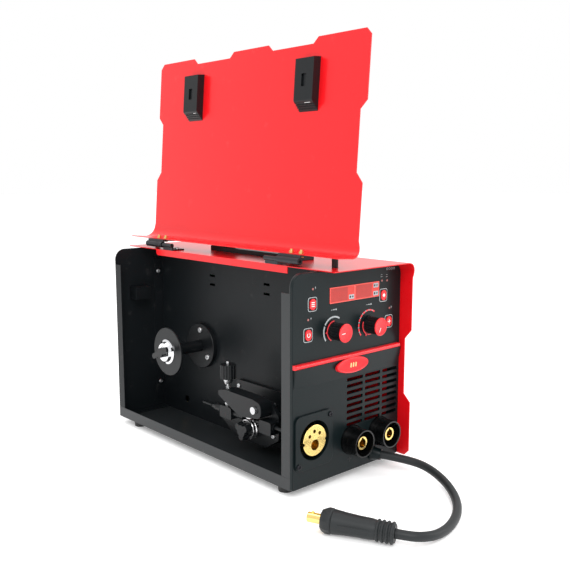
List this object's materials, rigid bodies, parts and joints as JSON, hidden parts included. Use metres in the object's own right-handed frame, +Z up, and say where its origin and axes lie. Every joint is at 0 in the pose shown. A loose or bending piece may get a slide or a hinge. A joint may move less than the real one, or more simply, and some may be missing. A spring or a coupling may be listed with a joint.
{
  "type": "mig welding machine",
  "caption": "Inverter MIG welding machine with its side door open on the wire feeder and spool holder, a control panel, output sockets and a polarity lead.",
  "frame": {"origin": "on the floor, under the middle of the case", "axes": "+Z up, the control panel faces -Y, the open wire compartment is on the -X side"},
  "size_m": [0.2726, 0.692, 0.6319],
  "materials": {
    "case_steel": "dark grey textured powder coat, satin",
    "red_steel": "gloss red powder coat",
    "front_plastic": "fine-grained black moulding",
    "red_plastic": "gloss red",
    "window_plastic": "smoked dark red window",
    "lamp_plastic": "clear lens",
    "black_plastic": "black nylon",
    "rubber": "matt black rubber",
    "zinc_steel": "zinc plated",
    "chrome_steel": "polished chrome",
    "roll_steel": "ground steel",
    "brass": "machined brass",
    "aluminium": "extruded",
    "board": "circuit board laminate",
    "core": "dark ferrite core and winding"
  },
  "bodies": {
    "case": {"base_tray": "case_steel", "cable_outlet": "black_plastic", "carry_handle": "black_plastic", "circuit_boards": "board", "display_window": "window_plastic", "fan_frame": "black_plastic", "fan_guard": "zinc_steel", "fasteners": "zinc_steel", "feed_motor": "case_steel", "feeder_body": "black_plastic", "front_frame": "case_steel", "front_moulding": "front_plastic", "gas_valve": "brass", "heat_sinks": "aluminium", "hinge_pins": "zinc_steel", "hinge_roof_leaves": "zinc_steel", "indicator_lights": "lamp_plastic", "inlet_guide": "black_plastic", "mains_gland": "black_plastic", "outlet_guide": "black_plastic", "partition": "case_steel", "plug_pin": "brass", "plug_sleeve": "rubber", "polarity_cable": "rubber", "power_switch": "black_plastic", "rear_panel": "case_steel", "right_cover": "red_steel", "rubber_pads": "rubber", "socket_inserts": "brass", "socket_shells": "rubber", "spool_flange": "black_plastic", "spool_spindle": "zinc_steel", "torch_body": "brass", "torch_flange": "front_plastic", "transformer": "core", "trim_bar": "red_plastic"},
    "door": {"door": "red_steel", "hinge_door_leaves": "zinc_steel", "hinge_door_screws": "zinc_steel", "latch_housings": "black_plastic"},
    "front_latch": {"latch_slider_front": "black_plastic"},
    "rear_latch": {"latch_slider_rear": "black_plastic"},
    "spool_holder": {"spool_hub": "black_plastic", "spool_disc": "black_plastic", "brake_cap": "chrome_steel"},
    "spool_nut": {"wing_nut": "black_plastic"},
    "tension_lever": {"tension_lever": "zinc_steel"},
    "tension_knob": {"tension_knob": "black_plastic"},
    "pressure_arm": {"pressure_arm": "black_plastic"},
    "pressure_roller": {"pressure_roller": "roll_steel"},
    "drive_roll": {"drive_roll": "roll_steel", "roll_knob": "black_plastic"},
    "left_knob": {"knob_left": "black_plastic"},
    "right_knob": {"knob_right": "black_plastic"},
    "mode_button": {"button_mode": "red_plastic"},
    "purge_button": {"button_purge": "red_plastic"},
    "select_button": {"button_select": "red_plastic"},
    "trigger_button": {"button_trigger": "red_plastic"},
    "fan_rotor": {"fan_rotor": "black_plastic"},
    "power_rocker": {"power_rocker": "red_plastic"}
  },
  "joints": [
    {"name": "door_hinge", "type": "hinge", "parent": "case", "child": "door", "pos_m": [-0.061, 0, 0.3195], "axis": [0, -1, 0], "range_deg": [0, 184.3]},
    {"name": "front_latch_slide", "type": "slide", "parent": "door", "child": "front_latch", "axis": [0.075, 0, 0.9972], "range_m": [0, 0.011]},
    {"name": "rear_latch_slide", "type": "slide", "parent": "door", "child": "rear_latch", "axis": [0.075, 0, 0.9972], "range_m": [0, 0.011]},
    {"name": "spool_spin", "type": "hinge", "parent": "case", "child": "spool_holder", "pos_m": [-0.06, 0.098, 0.147], "axis": [1, 0, 0], "continuous": true},
    {"name": "spool_nut_spin", "type": "hinge", "parent": "case", "child": "spool_nut", "pos_m": [-0.102, 0.098, 0.147], "axis": [1, 0, 0], "continuous": true},
    {"name": "tension_lever_swing", "type": "hinge", "parent": "case", "child": "tension_lever", "pos_m": [-0.071, -0.04, 0.086], "axis": [-1, 0, 0], "range_deg": [0, 80]},
    {"name": "tension_knob_spin", "type": "hinge", "parent": "tension_lever", "child": "tension_knob", "pos_m": [-0.071, -0.04, 0.134], "axis": [0, 0, 1], "continuous": true},
    {"name": "pressure_arm_swing", "type": "hinge", "parent": "case", "child": "pressure_arm", "pos_m": [-0.071, -0.121, 0.097], "axis": [1, 0, 0], "range_deg": [0, 20]},
    {"name": "pressure_roller_spin", "type": "hinge", "parent": "pressure_arm", "child": "pressure_roller", "pos_m": [-0.071, -0.092, 0.085], "axis": [1, 0, 0], "continuous": true},
    {"name": "drive_roll_spin", "type": "hinge", "parent": "case", "child": "drive_roll", "pos_m": [-0.071, -0.092, 0.0585], "axis": [1, 0, 0], "continuous": true},
    {"name": "left_knob_turn", "type": "hinge", "parent": "case", "child": "left_knob", "pos_m": [-0.0325, -0.24, 0.2245], "axis": [0, 1, 0], "range_deg": [-60, 240]},
    {"name": "right_knob_turn", "type": "hinge", "parent": "case", "child": "right_knob", "pos_m": [0.04, -0.24, 0.2235], "axis": [0, 1, 0], "range_deg": [0, 300]},
    {"name": "mode_button_press", "type": "slide", "parent": "case", "child": "mode_button", "axis": [0, 1, 0], "range_m": [0, 0.001], "stiffness_N_per_m": 400},
    {"name": "purge_button_press", "type": "slide", "parent": "case", "child": "purge_button", "axis": [0, 1, 0], "range_m": [0, 0.001], "stiffness_N_per_m": 400},
    {"name": "select_button_press", "type": "slide", "parent": "case", "child": "select_button", "axis": [0, 1, 0], "range_m": [0, 0.001], "stiffness_N_per_m": 400},
    {"name": "trigger_button_press", "type": "slide", "parent": "case", "child": "trigger_button", "axis": [0, 1, 0], "range_m": [0, 0.001], "stiffness_N_per_m": 400},
    {"name": "fan_spin", "type": "hinge", "parent": "case", "child": "fan_rotor", "pos_m": [0.046, 0.208, 0.165], "axis": [0, 1, 0], "continuous": true},
    {"name": "power_rocker_tilt", "type": "hinge", "parent": "case", "child": "power_rocker", "pos_m": [-0.069, 0.217, 0.231], "axis": [1, 0, 0], "range_deg": [0, 12]}
  ],
  "couplings": [
    {"joint": "pressure_arm_swing", "follows": "tension_lever_swing", "ratio": 0.25},
    {"joint": "pressure_roller_spin", "follows": "drive_roll_spin", "ratio": -1.4434}
  ]
}
